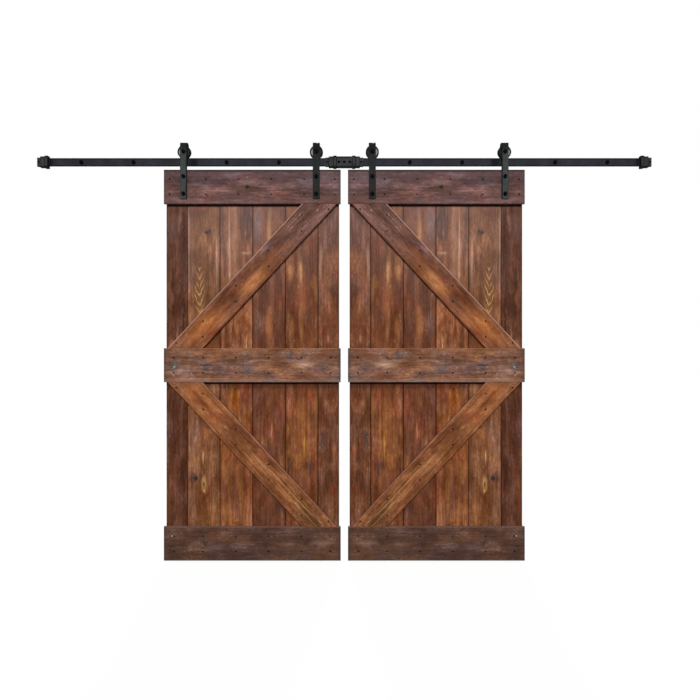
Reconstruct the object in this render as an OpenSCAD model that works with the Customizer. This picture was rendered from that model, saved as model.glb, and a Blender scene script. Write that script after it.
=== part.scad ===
// Pair of sliding barn doors, hung by roller straps from a flat wall track
// X runs along the track, the room side is -Y and Z is up. The origin lies on the wall plane,
// in the middle of the track, at the height of the rail's centreline.

/* [Doors] */
// Width of one door, over its boards
door_w = 965; // [900:1:1100]
// Height of one door
door_h = 2134; // [1900:1:2400]
// Gap between the two doors as they hang
door_gap = 40; // [10:1:60]
// Gap between the lower edges of the stops and the tops of the doors
door_drop = 10; // [4:0.5:30]

/* [Planks] */
// Face width of a full plank, of which there are four between the two edge planks
plank_face = 179; // [150:1:190]
// Thickness of the planks
plank_t = 18; // [16:0.5:24]
// Gap between neighbouring planks
plank_gap = 0.4; // [0.2:0.1:1]
// Bevel along each plank's front edges
plank_bevel = 3.5; // [1:0.5:5]
// Length of a plank's tongue
tongue_l = 8; // [5:0.5:10]
// Thickness of a plank's tongue
tongue_t = 6; // [4:0.5:7]

/* [Boards and braces] */
// Height of the three cross boards
board_w = 186; // [160:1:210]
// Thickness of the boards and braces
board_t = 17; // [14:0.5:22]
// Length of board that stands past the planks at each end
board_overhang = 9; // [2:1:25]
// Width of the braces
brace_w = 140; // [110:1:160]
// Distance between a brace's corners and the sides of the planks
brace_inset = 12; // [2:1:25]
// Eased front edges of the boards and braces
board_ease = 2; // [0.5:0.5:4]
// Joint between a brace's cut end and its board
brace_gap = 0.4; // [0.2:0.1:1]

/* [Wood screws] */
// Radius of a screw's head
screw_head_r = 4.6; // [3:0.1:6]
// Height of a screw's conical head
screw_head_h = 2.6; // [1.5:0.1:3.5]
// Radius of a screw's shank
screw_r = 1.8; // [1.4:0.1:2.4]
// Length of a screw
screw_l = 30; // [24:1:32]
// Depth of a screw's head below the wood's face
screw_sink = 1.2; // [0.2:0.1:2]
// Clearance of a screw in its hole
screw_clear = 0.1; // [0.05:0.05:0.2]
// Height between the two rows of screws in a board
screw_row_gap = 83; // [50:1:110]
// Distance from a board's ends to its last screws: top, middle and bottom board
screw_end_insets = [32, 54, 57]; // [25:1:70]
// How far a board's other screws stand from the planks' middles: top, middle and bottom board
screw_shifts = [15, 0, 0]; // [-30:1:30]
// Height between the two screws that hold a brace to a plank
screw_pair_gap = 86; // [50:1:100]
// Distance from a brace's cut ends to its end screws
screw_tip_inset = 29; // [20:1:40]

/* [Rails] */
// Length of each of the two rails
rail_l = 1678; // [1500:1:2000]
// Height of the rails
rail_h = 45; // [38:0.5:50]
// Thickness of the rails
rail_t = 6; // [5:0.5:8]
// Gap between the two rails where they meet
rail_gap = 1; // [0.2:0.1:3]
// Eased edges of the rails
rail_ease = 0.8; // [0.3:0.1:1.5]
// Distance from the middle of the track to the first wall bolt
wall_bolt_first = 358; // [300:1:400]
// Distance between the two wall bolts of a pair
wall_bolt_step = 286; // [200:1:320]
// Distance between a rail's two pairs of wall bolts
wall_bolt_pitch = 795; // [700:1:850]
// Length of the spacers between the wall and the rails
spacer_l = 34; // [28:1:50]
// Radius of the spacers
spacer_r = 12; // [10:0.5:16]
// Length of wall bolt that stands out behind the spacers
wall_bolt_reach = 30; // [25:1:80]

/* [Stops and joiner] */
// Length of a stop's nose along the rail
nose_l = 18; // [14:0.5:24]
// Height of a stop's nose
nose_h = 49; // [49:0.5:52]
// Depth of a stop's nose
nose_d = 17; // [14:0.5:20]
// Length of a stop's body along the rail
body_l = 25; // [20:0.5:32]
// Height of a stop's body
body_h = 61; // [56:0.5:64]
// Depth of a stop's body
body_d = 22; // [18:0.5:26]
// Length of a stop's collar along the rail
collar_l = 17.5; // [12:0.5:22]
// Height of a stop's collar
collar_h = 68; // [65:0.5:72]
// Depth of a stop's collar
collar_d = 27; // [23:0.5:30]
// Length of stop that stands past the end of the rail
stop_lip = 1; // [0.5:0.5:4]
// Length of the joiner
joiner_l = 85; // [75:1:100]
// Height of the joiner
joiner_h = 61; // [56:0.5:66]
// Thickness of the joiner's front web and back plate
joiner_t = 6; // [4:0.5:8]
// Distance between the joiner's screws
joiner_pitch = 30; // [24:0.5:34]
// Clearance of the stops and the joiner round the rail
sleeve_clear = 0.2; // [0.1:0.1:0.5]

/* [Hangers] */
// Distance from a door's outer edge to its outer hanger
hanger_outer = 109; // [90:1:130]
// Distance from a door's inner edge to its inner hanger
hanger_inner = 133; // [110:1:150]
// Width of the hanger strap
strap_w = 38; // [35:0.5:50]
// Thickness of the hanger strap
strap_t = 5; // [4:0.5:6]
// Room between a hanger's front and back legs
hook_gap = 28; // [26:0.5:34]
// Inner radius of the strap's bends
bend_r = 8; // [5:0.5:10]
// Room over the wheel, under the strap
hook_clear = 9.5; // [3:0.5:12]
// Length of strap that lies on the door
strap_lap = 159; // [150:1:180]
// Corner radius of the strap's lower end
strap_corner = 4; // [1:0.5:10]
// Distance from the door's top to the upper hanger bolt
hanger_bolt_top = 37; // [30:1:45]
// Distance between the two hanger bolts
hanger_bolt_step = 95; // [80:1:105]

/* [Wheels] */
// Outer radius of the wheels
wheel_r = 36; // [35:0.5:38]
// Radius of the tread that rolls on the rail
tread_r = 32; // [30:0.5:33]
// Running gap between the tread and the rail
tread_gap = 0.3; // [0.1:0.1:0.5]
// Width of the wheels
wheel_w = 22; // [20:0.5:24]
// Clearance between the rail's faces and the sides of the groove
groove_clear = 0.7; // [0.4:0.1:1]
// Flare of the groove from the tread to the rim
groove_flare = 1.2; // [0.5:0.1:2]
// Depth of the recess in each face of the wheel
web_recess = 4; // [2:0.5:5]
// Width of the wheel's rim between its edge and the recess
rim_w = 7; // [5.5:0.5:9]
// Wall of the hub round the bearing
hub_wall = 3.5; // [2.5:0.5:5]
// Lip that holds the bearing in its seat
seat_lip = 2; // [1:0.5:3]
// Eased edges of the rims
rim_ease = 1.5; // [0.5:0.5:2]

/* [Bearings] */
// Outer radius of the bearings
bearing_r = 15; // [14:0.5:16]
// Width of the bearings
bearing_w = 9; // [8:0.5:11]
// Radius of the circle through the balls
ball_circle_r = 10; // [9.5:0.1:10.5]
// Radius of the balls
ball_r = 2.4; // [2:0.1:2.6]
// Number of balls in a bearing
ball_count = 8; // [6:1:9]
// Running clearance of the balls in their races
ball_clear = 0.08; // [0.05:0.01:0.1]
// Depth of each race, from the balls' middle
race_depth = 1.6; // [1.2:0.1:1.8]
// Clearance of the bearing in its seat
seat_clear = 0.02; // [0.01:0.01:0.05]
// Wall of the bushes beside each bearing
bush_wall = 2.2; // [1.5:0.1:3]

/* [Bolts] */
// Radius of the hanger and axle bolts
bolt_r = 6; // [5:0.5:6]
// Radius of the wall bolts' threads, behind the spacers
wall_thread_r = 4.5; // [4:0.5:6]
// How much thicker the wall bolts' plain shanks are, in the rails and the spacers
wall_shank_step = 0.4; // [0.2:0.1:0.8]
// Width across the flats of the bolts and nuts
hex_flats = 19; // [17:0.5:20]
// Height of the bolt heads
hex_h = 7.5; // [5:0.1:8]
// Height of the nuts
nut_h = 10; // [6:0.5:11]
// Radius of the nuts' flanges
nut_flange_r = 12.5; // [12:0.5:14]
// Thickness of the nuts' flanges
nut_flange_t = 1.6; // [1:0.1:2.5]
// Length of bolt that stands out of a nut
bolt_end = 2; // [1:0.5:4]
// Clearance of a bolt in a drilled hole
hole_clear = 0.3; // [0.2:0.05:0.6]
// Clearance of a bolt in a nut, bush, ring or tapped hole
fit_clear = 0.05; // [0.03:0.01:0.1]
// Radius of the stops' clamp screws
stop_screw_r = 3; // [2.5:0.5:4]
// Radius of the joiner's screws
joiner_screw_r = 4; // [3:0.5:5]

/* [Hidden] */
$fn = 48;
SIDES = ["left", "right"];
PLANKS = [1, 2, 3, 4, 5, 6];
ROLLERS = ["outer", "inner"];
TRACK_NODES = ["left_rail", "right_rail", "joiner_channel", "joiner_back_plate", "joiner_screws",
    "left_end_stop", "right_end_stop", "left_centre_stop", "right_centre_stop", "stop_screws",
    "wall_spacers", "wall_bolts"];
DOOR_NODES = concat([for (k = PLANKS) str("plank_", k)],
    ["top_board", "middle_board", "bottom_board", "upper_brace", "lower_brace", "wood_screws",
    "outer_hanger", "inner_hanger", "hanger_bolts", "axle_bolts", "nuts", "axle_bushes",
    "bearing_inner_rings", "bearing_balls", "outer_wheel", "inner_wheel",
    "outer_bearing_ring", "inner_bearing_ring"]);

// Colours
plank_tones = ["#5f3c2c", "#7f563e", "#824e35", "#76493a", "#7d4d36", "#70472f"];
board_tones = ["#6a4f4b", "#7f5a4b", "#573e35"];
brace_tones = ["#84543c", "#7f5033"];
rail_tone = "#303137";
strap_tone = "#36383a";
bolt_tone = "#1b1c1e";
moulding_tone = "#3a3a3d";
wheel_tone = "#232426";
bearing_tone = "#9a9ca0";

// Depth: the wall, the rail, the hangers and the door
rail_front = -(spacer_l + rail_t);
rail_back = -spacer_l;
rail_y = (rail_front + rail_back) / 2;
hook_front = rail_y - hook_gap / 2;
hook_back = rail_y + hook_gap / 2;
strap_front = hook_front - strap_t;
strap_back = hook_back + strap_t;
door_front = hook_front;
board_back = door_front + board_t;
door_back = board_back + plank_t;

// Height: the rail, the axles, the straps and the door
axle_z = rail_h / 2 + tread_r;
strap_top = axle_z + wheel_r + hook_clear + strap_t;
door_top = -collar_h / 2 - door_drop;
door_base = door_top - door_h;
strap_base = door_top - strap_lap;

// Layout of the left door, with x measured from its own middle and the outer side at -x
door_x = -(door_gap + door_w) / 2;
panel_w = door_w - 2 * board_overhang;
edge_face = panel_w / 2 - 2 * plank_face;
plank_mids = [for (i = [-1.5 : 1 : 1.5]) i * plank_face];
edge_mid = (panel_w - edge_face) / 2;
plank_joints = [-panel_w / 2, -2 * plank_face, -plank_face, 0, plank_face, 2 * plank_face, panel_w / 2];
board_mids = [door_top - board_w / 2, door_top - door_h / 2, door_base + board_w / 2];
hanger_xs = [hanger_outer - door_w / 2, door_w / 2 - hanger_inner];
hanger_bolt_zs = [door_top - hanger_bolt_top, door_top - hanger_bolt_top - hanger_bolt_step];

// The braces run from corner to corner of the two panels between the boards
brace_rise = door_h / 2 - 1.5 * board_w;
brace_run = panel_w - 2 * brace_inset;
brace_angle = atan2(brace_rise, brace_run) + asin(brace_w / norm([brace_rise, brace_run]));
brace_mids = [(board_mids[0] + board_mids[1]) / 2, (board_mids[1] + board_mids[2]) / 2];
brace_slopes = [1, -1];

// Wood screws as [x, z], a row of pairs along each board and a pair at each plank of a brace
function screw_columns(i) = let (last = door_w / 2 - screw_end_insets[i])
    concat([-last], [for (x = plank_mids) x + screw_shifts[i]], [last]);
function board_screws(i) = [for (x = screw_columns(i)) for (s = [-0.5, 0.5])
    [x, board_mids[i] + s * screw_row_gap]];
function brace_screws(i) = concat(
    [for (x = plank_mids) for (s = [-0.5, 0.5])
        [x, brace_mids[i] + brace_slopes[i] * x * tan(brace_angle) + s * screw_pair_gap]],
    [for (s = [-1, 1])
        [s * edge_mid, brace_mids[i] + s * brace_slopes[i] * (brace_rise / 2 - screw_tip_inset)]]);
door_screws = concat([for (i = [0 : 2]) each board_screws(i)], [for (i = [0, 1]) each brace_screws(i)]);
function screws_between(x0, x1) = [for (p = door_screws) if (p.x > x0 && p.x < x1) p];

// Track
wall_shank_r = wall_thread_r + wall_shank_step;
rail_end = rail_gap / 2 + rail_l;
stop_l = nose_l + body_l + collar_l;
centre_stop_x = joiner_l / 2 + sleeve_clear + stop_l;
wall_bolt_xs = [for (pair = [0, 1]) for (i = [0, 1])
    wall_bolt_first + pair * wall_bolt_pitch + i * wall_bolt_step];
joiner_screw_xs = [-joiner_pitch, 0, joiner_pitch];
end_screw_x = rail_end + stop_lip - nose_l / 2;
centre_screw_x = centre_stop_x - nose_l / 2;
stop_screw_xs = [-end_screw_x, -centre_screw_x, centre_screw_x, end_screw_x];
joiner_front = rail_front - sleeve_clear - joiner_t;
joiner_back = rail_back + sleeve_clear + joiner_t;

// Small fixed proportions
cut = 1;
button_ratio = 1.75;
button_h_ratio = 1.1;
socket_ratio = 0.72;
hex_bevel = 0.47;
stop_corner = 4;
stop_ease = 1;
screw_tip = 6;
screw_recess = 0.4;
wall_bolt_tip = 12;
wall_bolt_point_r = 0.5;

// Turns a shape that is drawn along +Z to point along +Y, away from the room
module along_y() {
    rotate([-90, 0, 0]) children();
}

// Extrudes a section drawn as [y, z] along X, from x0 to x1
module along_x(x0, x1) {
    translate([x0, 0, 0]) rotate([90, 0, 90]) linear_extrude(x1 - x0) children();
}

// Extrudes an outline drawn as [x, z] along Y, from y0 to y1
module outline_y(y0, y1) {
    translate([0, y1, 0]) rotate([90, 0, 0]) linear_extrude(y1 - y0) children();
}

// Puts what is drawn for the left door on either side
module on_side(side) {
    mirror([side == "right" ? 1 : 0, 0, 0]) translate([door_x, 0, 0]) children();
}

// A round hole along Y at [x, z]
module hole_y(x, z, r, y0, y1) {
    translate([x, y0, z]) along_y() cylinder(h = y1 - y0, r = r);
}

// A rectangle with round corners, about the origin
module rounded(w, h, r) {
    square([w - 2 * r, h], center = true);
    square([w, h - 2 * r], center = true);
    for (x = [-1, 1], y = [-1, 1]) translate([x * (w / 2 - r), y * (h / 2 - r)]) circle(r);
}

// A rectangle with four bevelled corners, about the origin
module bevelled(w, h, e) {
    polygon([[e - w / 2, -h / 2], [w / 2 - e, -h / 2], [w / 2, e - h / 2], [w / 2, h / 2 - e],
        [w / 2 - e, h / 2], [e - w / 2, h / 2], [-w / 2, h / 2 - e], [-w / 2, e - h / 2]]);
}

// Section of a board as [depth, width], with its two front edges eased
module eased_section(t, w, e) {
    polygon([[0, e - w / 2], [0, w / 2 - e], [e, w / 2], [t, w / 2], [t, -w / 2], [e, -w / 2]]);
}

// A hexagonal prism along +Z, with its outer edge bevelled at z = 0
module hex_head(h) {
    intersection() {
        cylinder(h = h, r = hex_flats / 2 / cos(30), $fn = 6);
        cylinder(h = h, r1 = hex_flats * hex_bevel, r2 = hex_flats * hex_bevel + 2 * h);
    }
}

// A hexagon bolt along +Z whose shank starts at z = 0
module hex_bolt(r, l) {
    translate([0, 0, -hex_h]) hex_head(hex_h);
    translate([0, 0, -cut]) cylinder(h = l + cut, r = r);
}

// A flanged nut along +Z that seats at z = 0
module flange_nut() {
    difference() {
        union() {
            cylinder(h = nut_flange_t, r = nut_flange_r);
            translate([0, 0, nut_h]) mirror([0, 0, 1]) hex_head(nut_h);
        }
        translate([0, 0, -cut]) cylinder(h = nut_h + 2 * cut, r = bolt_r + fit_clear);
    }
}

// A domed socket screw along +Z whose shank starts at z = 0
module button_screw(r, l) {
    head_r = r * button_ratio;
    head_h = r * button_h_ratio;
    dome_r = (head_r * head_r + head_h * head_h) / (2 * head_h);
    difference() {
        union() {
            mirror([0, 0, 1]) rotate_extrude() intersection() {
                translate([0, head_h - dome_r]) circle(dome_r);
                square([head_r, head_h]);
            }
            translate([0, 0, -cut]) cylinder(h = l + cut, r = r);
        }
        translate([0, 0, -head_h - cut])
            cylinder(h = head_h * socket_ratio + cut, r = r * socket_ratio, $fn = 6);
    }
}

// Section of a wood screw as [r, depth], grown all round for its hole, whose mouth stands above the head
module screw_section(grow, mouth) {
    polygon([[0, -mouth], [screw_head_r + grow, -mouth], [screw_head_r + grow, 0],
        [screw_r + grow, screw_head_h], [screw_r + grow, screw_l - screw_tip], [0, screw_l + grow]]);
}

// The holes that a list of wood screws makes, from the front face of the boards
module screw_holes(places) {
    for (p = places) translate([p.x, door_front + screw_sink, p.y]) along_y()
        rotate_extrude() screw_section(screw_clear, screw_sink + cut);
}

// The drilled holes of the hanger bolts
module hanger_bolt_holes() {
    for (x = hanger_xs, z = hanger_bolt_zs)
        hole_y(x, z, bolt_r + hole_clear, strap_front - cut, door_back + cut);
}

// Section of plank k as [x, y], with a groove on its outer side and a tongue on its inner side
module plank_section(k) {
    first = k == 1;
    last = k == len(PLANKS);
    x0 = plank_joints[k - 1] + (first ? 0 : plank_gap / 2);
    x1 = plank_joints[k] - (last ? 0 : plank_gap / 2);
    middle = (board_back + door_back) / 2;
    groove = tongue_t / 2 + plank_gap / 2;
    polygon(concat(
        [[x0, board_back + plank_bevel], [x0 + plank_bevel, board_back],
            [x1 - plank_bevel, board_back], [x1, board_back + plank_bevel]],
        last ? [] : [[x1, middle - tongue_t / 2], [x1 + tongue_l, middle - tongue_t / 2],
            [x1 + tongue_l, middle + tongue_t / 2], [x1, middle + tongue_t / 2]],
        [[x1, door_back], [x0, door_back]],
        first ? [] : [[x0, middle + groove], [x0 + tongue_l, middle + groove],
            [x0 + tongue_l, middle - groove], [x0, middle - groove]]));
}

// Plank k of a door, drilled for the screws and bolts that go through it
module plank(k) {
    reach = tongue_l + bolt_r + hole_clear;
    color(plank_tones[k - 1]) difference() {
        translate([0, 0, door_base]) linear_extrude(door_h) plank_section(k);
        screw_holes(screws_between(plank_joints[k - 1], plank_joints[k]));
        for (x = hanger_xs, z = hanger_bolt_zs)
            if (x > plank_joints[k - 1] - reach && x < plank_joints[k] + reach)
                hole_y(x, z, bolt_r + hole_clear, board_back - cut, door_back + cut);
    }
}

// Cross board i of a door: top, middle or bottom
module board(i) {
    color(board_tones[i]) difference() {
        intersection() {
            translate([0, door_front, board_mids[i]]) along_x(-door_w / 2, door_w / 2)
                eased_section(board_t, board_w, board_ease);
            translate([0, door_front, board_mids[i] - board_w / 2]) linear_extrude(board_w)
                rotate(90) mirror([0, 1]) eased_section(board_t, door_w, board_ease);
        }
        screw_holes(board_screws(i));
        if (i == 0) hanger_bolt_holes();
    }
}

// Brace i of a door, cut level at both ends to fit between two boards
module brace(i) {
    half_rise = brace_rise / 2 - brace_gap;
    length = norm([brace_rise, brace_run]) + brace_w;
    color(brace_tones[i]) difference() {
        intersection() {
            translate([0, door_front, brace_mids[i]]) rotate([0, -brace_slopes[i] * brace_angle, 0])
                along_x(-length / 2, length / 2) eased_section(board_t, brace_w, board_ease);
            translate([-door_w, door_front - cut, brace_mids[i] - half_rise])
                cube([2 * door_w, board_t + 2 * cut, 2 * half_rise]);
        }
        screw_holes(brace_screws(i));
    }
}

// All the wood screws of a door, each with a round drive recess
module wood_screws() {
    color(bolt_tone) for (p = door_screws) translate([p.x, door_front + screw_sink, p.y]) along_y()
        rotate_extrude() difference() {
            screw_section(0, 0);
            square([screw_head_r, screw_head_h] * screw_recess);
        }
}

// Corners that are cut off the end of a strap: w wide, round by r, with its end at y = 0
module end_corners(w, r) {
    for (s = [0, 1]) mirror([s, 0]) difference() {
        translate([w / 2 - r, -cut]) square([r + cut, r + cut]);
        translate([w / 2 - r, r]) circle(r);
    }
}

// Space below an arch as [y, z], with two round upper corners
module arch(y0, y1, z0, z1, r) {
    translate([y0, z0]) square([y1 - y0, z1 - r - z0]);
    translate([y0 + r, z0]) square([y1 - y0 - 2 * r, z1 - z0]);
    for (y = [y0 + r, y1 - r]) translate([y, z1 - r]) circle(r);
}

// Hanger j of a door: a flat strap bent over its wheel, bolted to the door at the front
module hanger(j) {
    back_base = axle_z - strap_w / 2;
    color(strap_tone) translate([hanger_xs[j], 0, 0]) difference() {
        along_x(-strap_w / 2, strap_w / 2) difference() {
            arch(strap_front, strap_back, strap_base, strap_top, bend_r + strap_t);
            arch(hook_front, hook_back, strap_base - cut, strap_top - strap_t, bend_r);
            translate([hook_back - cut, strap_base - cut])
                square([strap_t + 2 * cut, back_base - strap_base + cut]);
        }
        outline_y(strap_front - cut, hook_front + cut)
            translate([0, strap_base]) end_corners(strap_w, strap_corner);
        outline_y(hook_back - cut, strap_back + cut)
            translate([0, back_base]) end_corners(strap_w, strap_w / 2);
        hole_y(0, axle_z, bolt_r + hole_clear, strap_front - cut, strap_back + cut);
        for (z = hanger_bolt_zs) hole_y(0, z, bolt_r + hole_clear, strap_front - cut, hook_front + cut);
    }
}

// The bolts that hold a door to its two hangers
module hanger_bolts() {
    length = door_back + nut_h + bolt_end - strap_front;
    color(bolt_tone) for (x = hanger_xs, z = hanger_bolt_zs)
        translate([x, strap_front, z]) along_y() hex_bolt(bolt_r, length);
}

// The bolts that the two wheels of a door turn on
module axle_bolts() {
    length = strap_back + nut_h + bolt_end - strap_front;
    color(bolt_tone) for (x = hanger_xs)
        translate([x, strap_front, axle_z]) along_y() hex_bolt(bolt_r, length);
}

// The flanged nuts behind a door and behind its hangers
module nuts() {
    color(bolt_tone) {
        for (x = hanger_xs, z = hanger_bolt_zs) translate([x, door_back, z]) along_y() flange_nut();
        for (x = hanger_xs) translate([x, strap_back, axle_z]) along_y() flange_nut();
    }
}

// The bushes that keep each bearing in the middle of its hanger
module axle_bushes() {
    length = (hook_gap - bearing_w) / 2;
    inner_r = bolt_r + fit_clear;
    color(bearing_tone) for (x = hanger_xs, y = [hook_front, hook_back - length])
        translate([x, y, axle_z]) along_y() rotate_extrude()
            translate([inner_r, 0]) square([bush_wall - fit_clear, length]);
}

// One ring of a bearing as [r, height], with the race that its balls run in
module ring_section(r0, r1) {
    difference() {
        translate([r0, -bearing_w / 2]) square([r1 - r0, bearing_w]);
        translate([ball_circle_r, 0]) circle(ball_r + ball_clear);
    }
}

// Puts the parts of a roller on the axle of hanger j
module on_axle(j) {
    translate([hanger_xs[j], rail_y, axle_z]) along_y() children();
}

// The inner rings of a door's two bearings, held by their bolts
module bearing_inner_rings() {
    color(bearing_tone) for (j = [0, 1]) on_axle(j) rotate_extrude()
        ring_section(bolt_r + fit_clear, ball_circle_r - race_depth);
}

// The balls of a door's two bearings
module bearing_balls() {
    color(bearing_tone) for (j = [0, 1]) on_axle(j) for (i = [1 : ball_count])
        rotate(i * 360 / ball_count) translate([ball_circle_r, 0, 0]) sphere(ball_r);
}

// The outer ring of the bearing in wheel j
module bearing_ring(j) {
    color(bearing_tone) on_axle(j) rotate_extrude()
        ring_section(ball_circle_r + race_depth, bearing_r - seat_clear);
}

// Wheel j: a grooved roller with a rim on each side of the rail
module wheel(j) {
    half = wheel_w / 2;
    web = half - web_recess;
    hub_r = bearing_r + hub_wall;
    rim_r = wheel_r - rim_w;
    tread = tread_r - tread_gap;
    groove = rail_t / 2 + groove_clear;
    mouth = groove + groove_flare;
    lip_r = bearing_r - seat_lip;
    seat = -bearing_w / 2;
    color(wheel_tone) on_axle(j) rotate_extrude() polygon([
        [lip_r, -half], [hub_r, -half], [hub_r, -web], [rim_r, -web], [rim_r, -half],
        [wheel_r - rim_ease, -half], [wheel_r, rim_ease - half], [wheel_r, -mouth], [tread, -groove],
        [tread, groove], [wheel_r, mouth], [wheel_r, half - rim_ease], [wheel_r - rim_ease, half],
        [rim_r, half], [rim_r, web], [hub_r, web], [hub_r, half],
        [bearing_r, half], [bearing_r, seat], [lip_r, seat]]);
}

// The left rail, drilled for its wall bolts, stop screws and joiner screws
module rail_bar() {
    color(rail_tone) difference() {
        translate([0, rail_y, 0]) along_x(-rail_end, -rail_gap / 2) bevelled(rail_t, rail_h, rail_ease);
        for (x = wall_bolt_xs)
            hole_y(-x, 0, wall_shank_r + hole_clear, rail_front - cut, rail_back + cut);
        for (x = [-end_screw_x, -centre_screw_x])
            hole_y(x, 0, stop_screw_r + hole_clear, rail_front - cut, rail_back + cut);
        for (x = joiner_screw_xs)
            hole_y(x, 0, joiner_screw_r + hole_clear, rail_front - cut, rail_back + cut);
    }
}

// A rail on either side
module rail(side) {
    mirror([side == "right" ? 1 : 0, 0, 0]) rail_bar();
}

// A length of a stop, with round edges along the rail and eased ends
module stop_length(x, l, d, h) {
    translate([x + l / 2, rail_y, 0]) intersection() {
        along_x(-l / 2, l / 2) rounded(d, h, stop_corner);
        outline_y(-d / 2, d / 2) bevelled(l, h, stop_ease);
        translate([0, 0, -h / 2]) linear_extrude(h) bevelled(l, d, stop_ease);
    }
}

// A moulded stop that sleeves over the rail, from its nose at x = 0 to its collar
module stop_moulding() {
    slot_t = rail_t + 2 * sleeve_clear;
    slot_h = rail_h + 2 * sleeve_clear;
    color(moulding_tone) difference() {
        union() {
            stop_length(0, nose_l + stop_ease, nose_d, nose_h);
            stop_length(nose_l, body_l + stop_ease, body_d, body_h);
            stop_length(nose_l + body_l, collar_l, collar_d, collar_h);
        }
        translate([-cut, rail_y - slot_t / 2, -slot_h / 2]) cube([stop_l + 2 * cut, slot_t, slot_h]);
        hole_y(nose_l / 2, 0, stop_screw_r + fit_clear, rail_y - nose_d, rail_y + nose_d);
    }
}

// A stop at the end of the track, with its collar facing the doors
module end_stop(side) {
    mirror([side == "right" ? 1 : 0, 0, 0]) translate([-rail_end - stop_lip, 0, 0]) stop_moulding();
}

// A stop beside the joiner, with its nose facing the door
module centre_stop(side) {
    mirror([side == "right" ? 1 : 0, 0, 0]) translate([-centre_stop_x, 0, 0]) stop_moulding();
}

// The clamp screws of the four stops
module stop_screws() {
    color(bolt_tone) for (x = stop_screw_xs)
        translate([x, rail_y - nose_d / 2, 0]) along_y() button_screw(stop_screw_r, nose_d - cut);
}

// The channel that covers the meeting ends of the rails
module joiner_channel() {
    inner_h = rail_h + 2 * sleeve_clear;
    color(moulding_tone) difference() {
        along_x(-joiner_l / 2, joiner_l / 2) difference() {
            translate([(joiner_front + joiner_back) / 2, 0])
                bevelled(joiner_back - joiner_front, joiner_h, stop_ease);
            translate([joiner_front + joiner_t, -inner_h / 2])
                square([joiner_back - joiner_front, inner_h]);
        }
        for (x = joiner_screw_xs)
            hole_y(x, 0, joiner_screw_r + hole_clear, joiner_front - cut, rail_front + cut);
    }
}

// The plate behind the rails that the joiner's screws are tapped into
module joiner_back_plate() {
    color(rail_tone) difference() {
        translate([-joiner_l / 2, rail_back + sleeve_clear, -rail_h / 2])
            cube([joiner_l, joiner_t, rail_h]);
        for (x = joiner_screw_xs)
            hole_y(x, 0, joiner_screw_r + fit_clear, rail_back - cut, joiner_back + cut);
    }
}

// The joiner's screws
module joiner_screws() {
    color(bolt_tone) for (x = joiner_screw_xs)
        translate([x, joiner_front, 0]) along_y()
            button_screw(joiner_screw_r, joiner_back - joiner_front - cut);
}

// The spacers that hold the rails off the wall
module wall_spacers() {
    bore_r = wall_shank_r + hole_clear;
    color(rail_tone) for (side = [-1, 1], x = wall_bolt_xs)
        translate([side * x, -spacer_l, 0]) along_y() rotate_extrude()
            translate([bore_r, 0]) square([spacer_r - bore_r, spacer_l]);
}

// The bolts through rail and spacer into the wall, with pointed ends
module wall_bolts() {
    shank_l = rail_t + spacer_l;
    thread_l = wall_bolt_reach - wall_bolt_tip;
    color(bolt_tone) for (side = [-1, 1], x = wall_bolt_xs)
        translate([side * x, rail_front, 0]) along_y() {
            hex_bolt(wall_shank_r, shank_l);
            translate([0, 0, shank_l - cut]) cylinder(h = thread_l + cut, r = wall_thread_r);
            translate([0, 0, shank_l + thread_l])
                cylinder(h = wall_bolt_tip, r1 = wall_thread_r, r2 = wall_bolt_point_r);
        }
}

// One part of a door, in the left door's own place
module door_part(part) {
    for (k = PLANKS) if (part == str("plank_", k)) plank(k);
    if (part == "top_board") board(0);
    if (part == "middle_board") board(1);
    if (part == "bottom_board") board(2);
    if (part == "upper_brace") brace(0);
    if (part == "lower_brace") brace(1);
    if (part == "wood_screws") wood_screws();
    if (part == "hanger_bolts") hanger_bolts();
    if (part == "axle_bolts") axle_bolts();
    if (part == "nuts") nuts();
    if (part == "axle_bushes") axle_bushes();
    if (part == "bearing_inner_rings") bearing_inner_rings();
    if (part == "bearing_balls") bearing_balls();
    for (j = [0, 1]) {
        if (part == str(ROLLERS[j], "_hanger")) hanger(j);
        if (part == str(ROLLERS[j], "_wheel")) wheel(j);
        if (part == str(ROLLERS[j], "_bearing_ring")) bearing_ring(j);
    }
}

rail("left");  // left_rail
rail("right");  // right_rail
joiner_channel();
joiner_back_plate();
joiner_screws();
end_stop("left");  // left_end_stop
end_stop("right");  // right_end_stop
centre_stop("left");  // left_centre_stop
centre_stop("right");  // right_centre_stop
stop_screws();
wall_spacers();
wall_bolts();
for (side = SIDES, part = DOOR_NODES)
    on_side(side) door_part(part);
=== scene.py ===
# %% [markdown]
# A pair of sliding barn doors on a flat black track.
# The solids come from the CAD frame, in metres: X runs along the track, the room side is -Y and Z is up,
# with the origin on the wall, at the middle of the rail. This file gives every surface its finish,
# adds the threads that the solids leave out, and lights the doors as in a white studio.

# %% Load the frame
import math

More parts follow.
